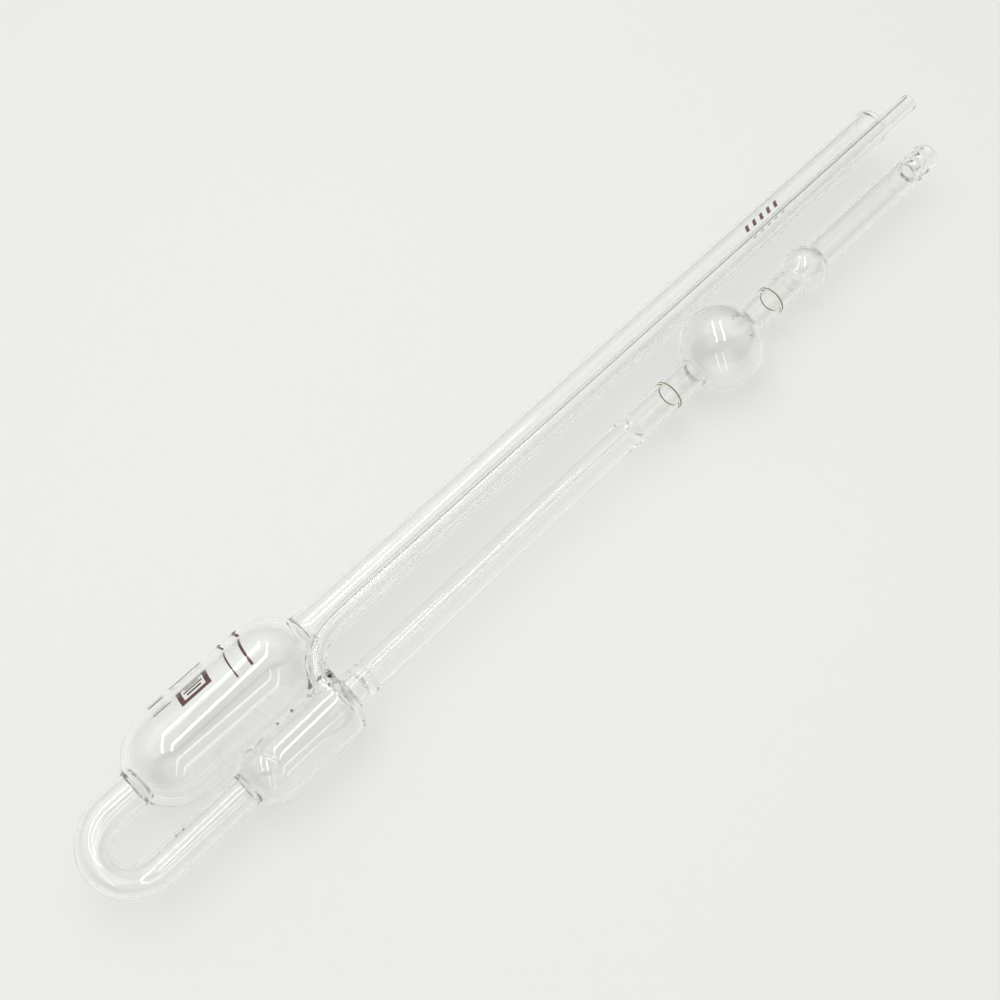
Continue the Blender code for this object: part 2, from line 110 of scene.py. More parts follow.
# Shoulders and fairings.
RESERVOIR_ROUND_R = 12.0 * MM
RESERVOIR_BASE_R = 5.7 * MM
RESERVOIR_FAIRING = 1.4 * MM
LEVEL_ROUND_R = 5.6 * MM
DOME_ROUND_R = 3.5 * MM
CAP_GROOVE = 1.8 * MM       # the width of the groove where the level vessel's cap is sealed on

# U bend.
U_BEND_RINGS = 83
U_LEVEL_ARM_R = 3.95 * MM
U_RESERVOIR_ARM_R = 4.45 * MM
U_CROWN_R = 3.6 * MM
U_ARM_DROP = 0.3 * MM


def seam(left, right):
    """The X at which two neighbouring blanks are sealed."""
    return (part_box(left)[1].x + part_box(right)[0].x) / 2


def axis_of(node):
    """(y, z) of the middle of a node's box."""
    low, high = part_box(node)
    return np.array(((low.y + high.y) / 2, (low.z + high.z) / 2))


def radius_of(node):
    """Half the height of a node's box."""
    low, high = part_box(node)
    return (high.z - low.z) / 2


# Stations along X, from the reservoir's base to the mouths.
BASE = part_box("reservoir_bulb")[0].x - 0.15 * MM
FILL_START = seam("reservoir_bulb", "filling_tube")
FILL_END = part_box("filling_tube")[1].x
CAP_START = seam("connecting_u_tube", "level_vessel_cap")
BODY_START = seam("level_vessel_cap", "level_vessel")
DOME_END = seam("level_vessel", "capillary_tube")
DOME_START = DOME_END - 6.3 * MM
NECK_END = DOME_END + 3.3 * MM
CAVITY_END = DOME_END + 1.4 * MM
FUNNEL = seam("capillary_tube", "lower_timing_tube")
BULB_START = seam("lower_timing_tube", "timing_bulb")
BULB_END = seam("timing_bulb", "upper_timing_tube")
BULB_MIDDLE = (BULB_START + BULB_END) / 2
PRE_RUN_START = seam("upper_timing_tube", "pre_run_bulb")
SUCTION_START = seam("pre_run_bulb", "suction_tube")
NOZZLE_START = seam("suction_tube", "hose_nozzle")
NOZZLE_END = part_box("hose_nozzle")[1].x
VENT_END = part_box("vent_tube")[1].x

FILL_AXIS = axis_of("filling_tube")
CAPILLARY_AXIS = axis_of("capillary_tube")
LEVEL_AXIS = axis_of("level_vessel")
U_LEVEL_AXIS = np.array((
    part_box("connecting_u_tube")[0].y + U_LEVEL_ARM_R, FILL_AXIS[1] - U_ARM_DROP
))

FILL_R = radius_of("filling_tube")
RESERVOIR_R = radius_of("reservoir_bulb")
LEVEL_R = radius_of("level_vessel")
CAPILLARY_R = radius_of("capillary_tube")
TIMING_R = radius_of("lower_timing_tube")
TIMING_BULB_R = radius_of("timing_bulb")
PRE_RUN_R = radius_of("pre_run_bulb")
SUCTION_R = radius_of("suction_tube")

# Mouths.
FILL_SWELL = 0.1 * MM
FILL_SWOLLEN = FILL_END - 0.7 * MM  # the X from which the tube is as wide as its lip
FILL_LIP_WALL = 1.2 * MM
FILL_LIP = (FILL_R + FILL_SWELL, FILL_R - FILL_LIP_WALL)
NOZZLE_LIP = (3.45 * MM, NOZZLE_BORE_R)

# Vent. Its hole in the vessel is a block of cells, given by its X and its sides. Crossing
# and root count points of the vent's centre line, STEP apart: where it passes the vessel's
# wall, and where the vent's own piece begins.
VENT_R = 2.37 * MM
VENT_BORE_R = 1.35 * MM
VENT_AXIS = np.array((FILL_AXIS[0] - 5.6 * MM, 17.1 * MM))
VENT_HOLE_X = (DOME_END - 11.4 * MM, DOME_END - 1.7 * MM)
VENT_HOLE_SIDES = (26, 46)
VENT_CROSSING = int(round(1.6 * MM / STEP))
VENT_ROOT = int(round(9.8 * MM / STEP))
VENT_LAST_RINGS = MM * np.array((  # their distances from the mouth
    2.0, 1.2, 0.8, 0.6, 0.5, 0.4, 0.3, 0.2, 0.12, 0.06, 0.03, 0.01, 0.0
))
BRANCH_RINGS = 28           # from the hole's border to the root
BRANCH_ROUNDS = 90          # of settling the branch on its fillet
BRANCH_SMOOTH_ROUNDS = 80   # of those, the ones that also even out its points
BRANCH_MOVE = 0.6 * MM      # the most that a point moves in a round

# Fired marks: heights of the under and upper face over the glass, the spacing of their
# points, and the panel's rim.
MARK_HEIGHTS = (-0.03 * MM, 0.03 * MM)
MARK_STEP_X = 0.5 * MM
MARK_STEP_ROUND = 0.3 * MM
PANEL_RIM = 1.25 * MM
PANEL_RIM_TURN = math.radians(6.2)

# Lamps.
STRIP_WIDTH = 0.055
STRIP_RADIANCE = 12.9

# Directions: along the tubes, across from the level vessel's arm to the reservoir's, and up.
ALONG = np.array((1.0, 0.0, 0.0))
ACROSS = np.array((0.0, *(FILL_AXIS - U_LEVEL_AXIS)))
U_SPACING = float(np.linalg.norm(ACROSS))
ACROSS = ACROSS / U_SPACING
RISE = np.cross(ALONG, ACROSS)
BEND_X = cad_box[0].x + U_SPACING / 2 + U_CROWN_R  # of the middle of the half circle


def smooth_max(a, b, width):
    """The larger of two radii, rounded where they cross."""
    near = np.maximum(width - np.abs(a - b), 0.0) / width
    return np.maximum(a, b) + near * near * width / 4


def smooth_step(x, start, end):
    """0 before start, 1 after end, smooth between."""
    part = np.clip((x - start) / (end - start), 0.0, 1.0)
    return part * part * (3 - 2 * part)


def ramp(x, start, end, first, last):
    """first before start, last after end, smooth between."""
    return first + (last - first) * smooth_step(x, start, end)


def hump(x, middle, width):
    """1 at the middle, falling smoothly to 0 about one width away."""
    return np.exp(-(((x - middle) / (0.5 * width)) ** 2))


def half_round(offset, radius):
    """Height of a circle over its diameter, and well below zero beyond it."""
    inside = radius * radius - offset * offset
    return np.where(inside > 0, np.sqrt(np.maximum(inside, 0.0)), -radius)


def rounded_body(x, low, high, radius, round_r, wall=0.0):
    """A cylinder from low to high whose shoulders are arcs of round_r beyond them."""
    beyond = np.maximum(low - x, 0.0) + np.maximum(x - high, 0.0)
    return radius - round_r + half_round(beyond, round_r - wall)


def oval(x, middle, half_length, radius):
    """Half of an oval, radius high at the middle."""
    return half_round((x - middle) / half_length * radius, radius)


def lip(x, end, edge, radius, side):
    """The radius with a fire-polished round edge at a mouth; side is 1 outside, -1 inside.

    edge holds the outer and inner radius between which the edge is rounded.
    """
    outer, inner = edge
    half = (outer - inner) / 2
    over = np.clip(x - (end - half), 0.0, half)
    rounded = (outer + inner) / 2 + side * np.sqrt(half * half - over * over)
    return np.where(over > 0, rounded, radius)


# ---- Outlines: outer and inner radius of each leg, as functions of X ----

def reservoir_body(x, wall):
    """The cylinder with its round shoulders, from the base to the filling tube."""
    round_r = RESERVOIR_ROUND_R
    reach_low = math.sqrt(round_r ** 2 - (RESERVOIR_BASE_R - RESERVOIR_R + round_r) ** 2)
    reach_high = math.sqrt(round_r ** 2 - (FILL_R - RESERVOIR_R + round_r) ** 2)
    low, high = BASE + reach_low, FILL_START - reach_high
    return rounded_body(x, low, high, RESERVOIR_R, round_r, wall)


def filling_leg_outer(x):
    """The U arm, the reservoir, a faint bead at its top, and a mouth a little swollen."""
    tube = ramp(x, BASE, FILL_START, U_RESERVOIR_ARM_R, FILL_R)
    whole = smooth_max(tube, reservoir_body(x, 0.0), RESERVOIR_FAIRING)
    whole = whole + 0.12 * MM * hump(x, FILL_START + 0.6 * MM, 1.6 * MM)
    whole = whole + FILL_SWELL * smooth_step(x, FILL_END - 1.6 * MM, FILL_SWOLLEN)
    return lip(x, FILL_END, FILL_LIP, whole, 1)


def filling_leg_inner(x):
    """The same bores, narrower where the reservoir is sealed on and at the mouth."""
    tube = ramp(x, BASE, FILL_START, U_RESERVOIR_ARM_R - BULB_WALL, FILL_R - TUBE_WALL)
    whole = smooth_max(tube, reservoir_body(x, RESERVOIR_WALL), RESERVOIR_FAIRING)
    whole = whole - 0.15 * MM * hump(x, BASE + 0.9 * MM, 1.4 * MM)
    whole = whole - 0.12 * MM * hump(x, FILL_START + 0.3 * MM, 1.6 * MM)
    thicker = FILL_LIP_WALL - TUBE_WALL
    whole = whole - thicker * smooth_step(x, FILL_END - 1.8 * MM, FILL_SWOLLEN)
    return lip(x, FILL_END, FILL_LIP, whole, -1)


def level_bottom(x, wall):
    """The vessel's cylinder and round bottom, without its top."""
    round_r = LEVEL_ROUND_R
    reach = math.sqrt(round_r ** 2 - (U_LEVEL_ARM_R - LEVEL_R + round_r) ** 2)
    return rounded_body(x, CAP_START + reach, BEYOND, LEVEL_R, round_r, wall)


def level_outer(x):
    """The vessel, with a slight groove where its cap is sealed on."""
    dome = rounded_body(x, -BEYOND, DOME_START, LEVEL_R, DOME_ROUND_R)
    outside = np.minimum(level_bottom(x, 0.0), dome)
    return outside - 0.22 * MM * hump(x, BODY_START, CAP_GROOVE)


def level_inner(x):
    """Its dome is a flat oval, open to the neck's cavity."""
    height = LEVEL_R - BULB_WALL
    over = np.maximum(x - DOME_START, 0.0) / (3.0 * MM) * height
    dome = half_round(over, height)
    inside = np.minimum(level_bottom(x, BULB_WALL), dome)
    return inside - 0.28 * MM * hump(x, BODY_START, CAP_GROOVE)


def nozzle_beads(x):
    """Two round beads and a rolled end, as a change to the nozzle's waist radius."""
    first, second = NOZZLE_END - 7.6 * MM, NOZZLE_END - 4.3 * MM
    beads = 0.75 * MM * hump(x, first, 2.2 * MM) + 0.62 * MM * hump(x, second, 2.0 * MM)
    return beads + 0.35 * MM * hump(x, NOZZLE_END - 1.1 * MM, 1.9 * MM)


def capillary_leg_tube(x):
    """The leg without its vessel and bulbs: U arm, neck, capillary, wide tubes, waist."""
    radius = ramp(x, CAP_START, BODY_START, U_LEVEL_ARM_R, CAPILLARY_R)
    neck = smooth_step(x, BODY_START, DOME_START) - smooth_step(x, NECK_END - 0.5 * MM, NECK_END)
    radius = radius + 0.25 * MM * neck - 0.12 * MM * hump(x, NECK_END + 0.2 * MM, 0.9 * MM)
    radius = radius + (TIMING_R - CAPILLARY_R) * smooth_step(x, FUNNEL, FUNNEL + 2.0 * MM)
    radius = radius + (SUCTION_R - TIMING_R) * smooth_step(x, PRE_RUN_START, SUCTION_START)
    waist = NOZZLE_WAIST_R - SUCTION_R
    return radius + waist * smooth_step(x, NOZZLE_START, NOZZLE_START + 1.6 * MM)


def timing_bulb(x, wall):
    """A little right of the middle of its blank, as it was blown."""
    return oval(x, BULB_MIDDLE + 0.2 * MM, 10.6 * MM - wall, TIMING_BULB_R - wall)


def pre_run_bulb(x, wall):
    return oval(x, SUCTION_START - 5.2 * MM, 5.9 * MM - wall, PRE_RUN_R - wall)


def with_bulbs(x, tube, wall, narrower):
    """The tube with both bulbs blown in it, faired wide on the left and tight on the right.

    narrower is by how much the bore's fairings are smaller than the outside's.
    """
    reach = 6 * MM
    fillet = ramp(x, BULB_MIDDLE - reach, BULB_MIDDLE + reach, 3.4 * MM, 1.4 * MM) - narrower
    whole = smooth_max(tube, timing_bulb(x, wall), fillet)
    fillet = ramp(x, PRE_RUN_START, SUCTION_START, 2.4 * MM, 0.9 * MM) - narrower / 2
    return smooth_max(whole, pre_run_bulb(x, wall), fillet)


def capillary_leg_outer(x):
    """The tube, the vessel, the bulbs, a faint bead over the funnel, and the nozzle's beads."""
    fillet = ramp(x, CAP_START, BODY_START, 2.0 * MM, 0.9 * MM)
    whole = smooth_max(capillary_leg_tube(x), level_outer(x), fillet)
    whole = whole + 0.1 * MM * hump(x, FUNNEL + 0.4 * MM, 2.4 * MM)
    whole = with_bulbs(x, whole, 0.0, 0.0) + nozzle_beads(x)
    return lip(x, NOZZLE_END, NOZZLE_LIP, whole, 1)


def capillary_leg_inner(x):
    """The bore: the U arm's, the vessel's, the capillary's and the wide tubes' again."""
    arm = U_LEVEL_ARM_R - TUBE_WALL
    height = NECK_BORE_R - BORE_R
    over = np.maximum(x - CAVITY_END + 1.3 * MM, 0.0) / (1.3 * MM) * height
    low = np.where(x < BODY_START, arm, BORE_R + np.maximum(half_round(over, height), 0.0))
    fillet = ramp(x, CAP_START, BODY_START, 1.8 * MM, 0.7 * MM)
    whole = smooth_max(low, level_inner(x), fillet)
    wide = TIMING_R - TUBE_WALL
    whole = whole + (wide - BORE_R) * smooth_step(x, FUNNEL - 0.3 * MM, FUNNEL + 3.2 * MM)
    whole = with_bulbs(x, whole, BLOWN_WALL, 0.1 * MM)
    whole = whole + (SUCTION_R - TIMING_R) * smooth_step(x, PRE_RUN_START, SUCTION_START)
    narrow = NOZZLE_BORE_R - (SUCTION_R - TUBE_WALL)
    whole = whole + narrow * smooth_step(x, NOZZLE_START, NOZZLE_START + 1.8 * MM)
    return lip(x, NOZZLE_END, NOZZLE_LIP, whole, -1)


def filling_axis(x):
    """(y, z) of the leg's centre at each station."""
    return np.broadcast_to(FILL_AXIS, (len(x), 2))


def capillary_leg_axis(x):
    """Drifts from the U arm's axis to the vessel's, then over the dome to the capillary's."""
    onto_vessel = smooth_step(x, CAP_START, BODY_START)[:, None]
    onto_capillary = smooth_step(x, DOME_START - 1.5 * MM, DOME_END - 2.6 * MM)[:, None]
    centre = U_LEVEL_AXIS + (LEVEL_AXIS - U_LEVEL_AXIS) * onto_vessel
    return centre + (CAPILLARY_AXIS - LEVEL_AXIS) * onto_capillary


# ---- Meshes ----

def stations(outer, inner, start, end, straight=0.15):
    """X values along both outlines: STEP apart on curves, STEP / straight on straight runs."""
    fine = np.linspace(start, end, max(200, int((end - start) / FINE)))
    rise = np.maximum(np.abs(np.diff(outer(fine))), np.abs(np.diff(inner(fine))))
    run = np.diff(fine)
    bent = (rise / run > BENT).astype(float)
    reach = int(BENT_REACH / run[0])
    near = np.convolve(bent, np.ones(2 * reach + 1) / (reach + 1), mode="same")[:len(bent)]
    closeness = straight + (1 - straight) * np.minimum(near, 1.0)
    in_lip = (rise / run > LIP_STEEP) * (fine[1:] > end - LIP_REACH)
    closeness = closeness + LIP_CLOSENESS * in_lip
    along = np.concatenate(([0.0], np.cumsum(np.hypot(run, rise) * closeness)))
    count = max(2, int(round(along[-1] / STEP)))
    return np.interp(np.linspace(0.0, along[-1], count + 1), along, fine)


def circle():
    """Cosines and sines of a ring's turns."""
    turn = 2 * np.pi * np.arange(SIDES) / SIDES
    return np.cos(turn)[:, None], np.sin(turn)[:, None]


def turned_rings(x, radius, centre, side):
    """Rings square to X; side is the direction of each ring's first point."""
    cosine, sine = circle()
    spoke = cosine * side + sine * RISE
    return np.column_stack((x, centre))[:, None, :] + radius[:, None, None] * spoke


def path_frames(points, side):
    """Headings along a path, and sides turned as little as possible on the way."""
    headings = np.gradient(points, axis=0)
    headings /= np.linalg.norm(headings, axis=1)[:, None]
    sides = []
    for heading in headings:
        side = side - heading * (side @ heading)
        side = side / np.linalg.norm(side)
        sides.append(side)
    return headings, np.array(sides)


def finished(name, mesh, node, smooth=True):
    """Welds, turns the normals outward, hangs the piece on the root body and hides its CAD node."""
    bmesh.ops.remove_doubles(mesh, verts=mesh.verts, dist=WELD)
    bmesh.ops.recalc_face_normals(mesh, faces=mesh.faces)
    data = bpy.data.meshes.new(name)
    mesh.to_mesh(data)
    mesh.free()
    if smooth:
        data.shade_smooth()
    if RIM_NORMAL in data.attributes:
        use_rim_normals(data)
    piece = bpy.data.objects.new(name, data)
    bpy.context.scene.collection.objects.link(piece)
    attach(piece, "root")
    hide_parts(node)
    return piece


def use_rim_normals(data):
    """Gives the wall its true normals at the seals, so shading runs on into the next blank."""
    stored = np.zeros(3 * len(data.vertices), np.float32)
    data.attributes[RIM_NORMAL].data.foreach_get("vector", stored)
    stored = stored.reshape(-1, 3)
    normals = np.zeros((len(data.loops), 3))
    for polygon in data.polygons:
        if polygon.material_index == SEAL_SLOT:
            normals[polygon.loop_start:polygon.loop_start + polygon.loop_total] = polygon.normal
        else:
            for loop in polygon.loop_indices:
                normals[loop] = stored[data.loops[loop].vertex_index]
    data.attributes.remove(data.attributes[RIM_NORMAL])
    data.normals_split_custom_set([tuple(normal) for normal in normals])


def wall_mesh(grids, seals, left_out=frozenset()):
    """A wall between an outer and an inner row of rings.

    seals gives for each end the outer and inner normals where it is closed as a seal to
    the next blank, or None for a mouth, where the rows meet in its lip. left_out is a
    block of cells missing from both rows.
    """
    mesh = bmesh.new()
    mesh.verts.layers.float_vector.new(RIM_NORMAL)
    verts = [[[mesh.verts.new(point) for point in ring] for ring in rows] for rows in grids]
    count, sides = grids[0].shape[:2]
    for rows in verts:
        for i in range(count - 1):
            for j in range(sides):
                if (i, j) not in left_out:
                    k = (j + 1) % sides
                    mesh.faces.new((rows[i][j], rows[i + 1][j], rows[i + 1][k], rows[i][k]))
    for normals, i in zip(seals, (0, count - 1)):
        if normals is not None:
            close_seal(mesh, (verts[0][i], verts[1][i]), normals)
    return mesh, verts


def close_seal(mesh, rings, normals):
    """Closes the wall between an outer and an inner ring, and stores the wall's normals there."""
    outer_ring, inner_ring = rings
    sides = len(outer_ring)
    for j in range(sides):
        k = (j + 1) % sides
        face = mesh.faces.new((outer_ring[j], outer_ring[k], inner_ring[k], inner_ring[j]))
        face.material_index = SEAL_SLOT
    layer = mesh.verts.layers.float_vector[RIM_NORMAL]
    for ring, ring_normals in zip(rings, normals):
        for vert, normal in zip(ring, ring_normals):
            vert[layer] = normal


def leg_normals(leg, x):
    """Normals of a leg's outer and inner surface round its ring at one station."""
    outer, inner, _, side = leg
    cosine, sine = circle()
    spoke = cosine * side + sine * RISE
    near = np.array((x - FINE, x + FINE))
    found = []
    for outline, sign in ((outer, 1.0), (inner, -1.0)):
        slope = np.diff(outline(near))[0] / (2 * FINE)
        found.append(sign * (spoke - slope * ALONG) / math.hypot(1.0, slope))
    return found


def turned_piece(node, start, end, leg, mouth=False):
    """One blank of a leg between two stations."""
    outer, inner, axis, side = leg
    x = stations(outer, inner, start, end)
    rings = [turned_rings(x, radius(x), axis(x), side) for radius in (outer, inner)]
    seals = (leg_normals(leg, start), None if mouth else leg_normals(leg, end))
    mesh, _ = wall_mesh(rings, seals)
    finished("glass_" + node, mesh, node)


FILLING_LEG = (filling_leg_outer, filling_leg_inner, filling_axis, ACROSS)
CAPILLARY_LEG = (capillary_leg_outer, capillary_leg_inner, capillary_leg_axis, -ACROSS)


def build_u_bend():
    """Down the reservoir's arm, round the half circle and up the level vessel's arm."""
    down = stations(filling_leg_outer, filling_leg_inner, BEND_X, BASE)[::-1]
    up = stations(capillary_leg_outer, capillary_leg_inner, BEND_X, CAP_START)
    turn = np.linspace(0.0, np.pi, U_BEND_RINGS + 2)[1:-1]
    bend_r = U_SPACING / 2
    sides = np.cos(turn)[:, None] * ACROSS - np.sin(turn)[:, None] * ALONG
    middle = np.array((BEND_X, *((FILL_AXIS + U_LEVEL_AXIS) / 2)))
    centres = middle + bend_r * sides
    cosine, sine = circle()
    spokes = cosine * sides[:, None, :] + sine * RISE
    rings = []
    surfaces = (
        (filling_leg_outer, capillary_leg_outer, U_CROWN_R),
        (filling_leg_inner, capillary_leg_inner, U_CROWN_R - TUBE_WALL),
    )
    for down_arm, up_arm, crown_r in surfaces:
        first, last = down_arm(down), up_arm(up)
        arm_r = ramp(turn, 0.25 * np.pi, 0.75 * np.pi, first[-1], last[0])
        bend = arm_r + (crown_r - arm_r) * np.sin(turn) ** 2
        rings.append(np.concatenate((
            turned_rings(down, first, filling_axis(down), ACROSS),
            centres[:, None, :] + bend[:, None, None] * spokes,
            turned_rings(up, last, np.broadcast_to(U_LEVEL_AXIS, (len(up), 2)), -ACROSS),
        )))
    seals = (leg_normals(FILLING_LEG, BASE), leg_normals(CAPILLARY_LEG, CAP_START))
    mesh, _ = wall_mesh(rings, seals)
    finished("glass_connecting_u_tube", mesh, "connecting_u_tube")


# ---- The vent and its branch off the level vessel ----

def vent_path():
    """Centre line: one smooth curve out of the vessel, then a straight run to the mouth."""
    start = DOME_END - 6.7 * MM
    handles = np.array((
        (start, FILL_AXIS[0] - 15.2 * MM, 15.4 * MM),
        (start + 2.4 * MM, FILL_AXIS[0] - 10.0 * MM, 20.4 * MM),
        (start + 6.4 * MM, FILL_AXIS[0] - 6.2 * MM, 18.5 * MM),
        (start + 17.2 * MM, *VENT_AXIS),
    ))
    t = np.linspace(0.0, 1.0, 400)[:, None]
    curve = ((1 - t) ** 3 * handles[0] + 3 * t * (1 - t) ** 2 * handles[1]
             + 3 * t * t * (1 - t) * handles[2] + t ** 3 * handles[3])
    steps = np.linalg.norm(np.diff(curve, axis=0), axis=1)
    along = np.concatenate(([0.0], np.cumsum(steps)))
    even = np.arange(0.0, along[-1], STEP)
    return np.column_stack([np.interp(even, along, curve[:, i]) for i in range(3)])


def from_path(points, path):
    """Each point's distance from the nearest point of the path."""
    return np.linalg.norm(points[:, None, :] - path[None, :, :], axis=2).min(axis=1)


def branch_level(points, path, inside):
    """Below zero within the vessel or the vent, with a fillet between the two."""
    x = points[:, 0]
    outline = capillary_leg_inner if inside else capillary_leg_outer
    middle = capillary_leg_axis(x)
    from_axis = np.hypot(points[:, 1] - middle[:, 0], points[:, 2] - middle[:, 1])
    slope = (outline(x + FINE) - outline(x - FINE)) / (2 * FINE)
    vessel = (from_axis - outline(x)) / np.sqrt(1 + slope * slope)
    vent = from_path(points, path) - (VENT_BORE_R if inside else VENT_R)
    width = 1.2 * MM if inside else 2.6 * MM
    return -smooth_max(-vessel, -vent, width)


def branch_rings(border, ring, path, inside):
    """Rings from the border of the vessel's hole to the vent's root ring, on the fillet."""
    mix = np.linspace(0.0, 1.0, BRANCH_RINGS + 1)
    stops = VENT_CROSSING + (VENT_ROOT - VENT_CROSSING) * mix
    points = np.arange(len(path))
    centres = np.column_stack([np.interp(stops, points, path[:, i]) for i in range(3)])
    mix = mix[:, None, None]
    rows = centres[:, None, :] + (border - centres[0]) * (1 - mix) + (ring - centres[-1]) * mix
    step = 0.01 * MM
    for turn in range(BRANCH_ROUNDS):
        inner = rows[1:-1]
        if turn < BRANCH_SMOOTH_ROUNDS:
            around = (np.roll(inner, 1, axis=1) + np.roll(inner, -1, axis=1)) / 2
            inner = 0.5 * inner + 0.25 * around + 0.125 * (rows[:-2] + rows[2:])
        flat = inner.reshape(-1, 3)
        level = branch_level(flat, path, inside)
        slope = np.column_stack([
            (branch_level(flat + step * axis, path, inside) - level) / step for axis in np.eye(3)
        ])
        steep = np.maximum((slope * slope).sum(axis=1), 0.2)
        move = np.clip(level / steep, -BRANCH_MOVE, BRANCH_MOVE)
        rows[1:-1] = (flat - slope * move[:, None]).reshape(inner.shape)
    return rows


def vent_hole(x):
    """The vessel's cells that the branch takes the place of, and the points round them."""
    first_row, last_row = (int(np.searchsorted(x, at)) for at in VENT_HOLE_X)
    first_side, last_side = VENT_HOLE_SIDES
    rows, columns = range(first_row, last_row), range(first_side, last_side)
    block = frozenset((i, j) for i in rows for j in columns)
    border = [(first_row, j) for j in columns] + [(i, last_side) for i in rows]
    border += [(last_row, j) for j in reversed(range(first_side + 1, last_side + 1))]
    border += [(i, first_side) for i in reversed(range(first_row + 1, last_row + 1))]
    return block, border


def facing_turns(offsets, heading, side):
    """Even turns round the vent, each as near as may be to the turn of its offset."""
    turns = np.unwrap(np.arctan2(offsets @ np.cross(heading, side), offsets @ side))
    way = 1.0 if turns[-1] > turns[0] else -1.0
    even = way * 2 * np.pi * np.arange(len(offsets)) / len(offsets)
    return even + float(np.mean(turns - even))


def vent_spokes(turns, side, heading):
    """Directions square to the heading, each turned from side."""
    up = np.cross(heading, side)
    return np.cos(turns)[:, None] * side + np.sin(turns)[:, None] * up


def build_level_vessel(path):
    """The vessel with the vent's branch; gives the heading, side and turns of its end ring."""
    outer, inner, axis, side = CAPILLARY_LEG
    x = stations(outer, inner, BODY_START, DOME_END, straight=1.0)
    grids = [turned_rings(x, radius(x), axis(x), side) for radius in (outer, inner)]
    block, border = vent_hole(x)
    seals = (leg_normals(CAPILLARY_LEG, BODY_START), leg_normals(CAPILLARY_LEG, DOME_END))
    mesh, verts = wall_mesh(grids, seals, block)

    headings, _ = path_frames(path, RISE)
    offsets = np.array([grids[0][i, j] for i, j in border]) - path[VENT_CROSSING]
    spoke = offsets[0] - headings[0] * (offsets[0] @ headings[0])
    _, sides = path_frames(path, spoke / np.linalg.norm(spoke))
    turns = facing_turns(offsets, headings[0], sides[0])
    spokes = vent_spokes(turns, sides[VENT_ROOT], headings[VENT_ROOT])

    ends = []
    for k, radius in enumerate((VENT_R, VENT_BORE_R)):
        edge = np.array([grids[k][i, j] for i, j in border])
        rings = branch_rings(edge, path[VENT_ROOT] + radius * spokes, path, bool(k))
        before = [verts[k][i][j] for i, j in border]
        for points in rings[1:]:
            after = [mesh.verts.new(point) for point in points]
            for i in range(len(border)):
                j = (i + 1) % len(border)
                mesh.faces.new((before[i], before[j], after[j], after[i]))
            before = after
        ends.append(before)
    close_seal(mesh, ends, (spokes, -spokes))
    finished("glass_level_vessel", mesh, "level_vessel")
    return headings[VENT_ROOT], sides[VENT_ROOT], turns


def build_vent(path, heading, side, turns):
    """The curve past the branch, then long straight steps, then the mouth."""
    mouth = VENT_END - VENT_LAST_RINGS
    straight = np.concatenate((np.arange(path[-1][0] + 1.0 * MM, mouth[0], 2.0 * MM), mouth))
    tail = np.column_stack((straight, np.broadcast_to(VENT_AXIS, (len(straight), 2))))
    line = np.concatenate((path[VENT_ROOT:], tail))
    headings, sides = path_frames(line, side)
    headings[0], sides[0] = heading, side
    spokes = vent_spokes(turns, sides[:, None, :], headings[:, None, :])
    grids = []
    for radius, face in ((VENT_R, 1), (VENT_BORE_R, -1)):
        whole = np.full(len(line), radius)
        radii = lip(line[:, 0], VENT_END, (VENT_R, VENT_BORE_R), whole, face)
        grids.append(line[:, None, :] + radii[:, None, None] * spokes)
    mesh, _ = wall_mesh(grids, ((spokes[0], -spokes[0]), None))
    finished("glass_vent_tube", mesh, "vent_tube")


# ---- Fired marks, fused to the glass: half in it and half proud of it ----

def mark_piece(node, axis, radius, x, turns, left_out=frozenset(), closed=False):
    """A thin curved slab on a tube, a grid of cells; closed runs right round the tube."""
    mesh = bmesh.new()
    spokes = np.column_stack((np.zeros(len(turns)), np.cos(turns), np.sin(turns)))
    layers = [
        [[mesh.verts.new((a, *axis) + (radius + height) * spoke) for spoke in spokes] for a in x]
        for height in MARK_HEIGHTS
    ]
    around = len(turns) if closed else len(turns) - 1
    kept = {(i, j) for i in range(len(x) - 1) for j in range(around)} - left_out
    for i, j in sorted(kept):
        k = (j + 1) % len(turns)
        corners = ((i, j), (i + 1, j), (i + 1, k), (i, k))
        if closed:
            beyond = ((i, (j - 1) % around), (i + 1, j), (i, k), (i - 1, j))
        else:
            beyond = ((i, j - 1), (i + 1, j), (i, j + 1), (i - 1, j))
        for layer in layers:
            mesh.faces.new([layer[a][b] for a, b in corners])
        for side in range(4):
            if beyond[side] not in kept:
                (a, b), (c, d) = corners[side], corners[(side + 1) % 4]
                mesh.faces.new((layers[0][a][b], layers[0][c][d], layers[1][c][d], layers[1][a][b]))
    loose = [vert for vert in mesh.verts if not vert.link_faces]
    bmesh.ops.delete(mesh, geom=loose, context="VERTS")
    return finished("mark_" + node, mesh, node, smooth=False)


def mark_grid(node, axis, radius):
    """X values and turns that cover a mark's node."""
    low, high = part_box(node)
    points = np.array([vert.co for vert in frame["nodes"][node].data.vertices])
    turns = np.arctan2(points[:, 2] - axis[1], points[:, 1] - axis[0])
    first, last = turns.min(), turns.max()
    along = max(2, int((high.x - low.x) / MARK_STEP_X) + 1)
    around = max(3, int((last - first) * radius / MARK_STEP_ROUND))
    return np.linspace(low.x, high.x, along), np.linspace(first, last, around)


def with_rim(values, rim, count):
    """The first and last value, and count even ones that start and end a rim inside them."""
    inside = np.linspace(values[0] + rim, values[-1] - rim, count)
    return np.concatenate((values[:1], inside, values[-1:]))


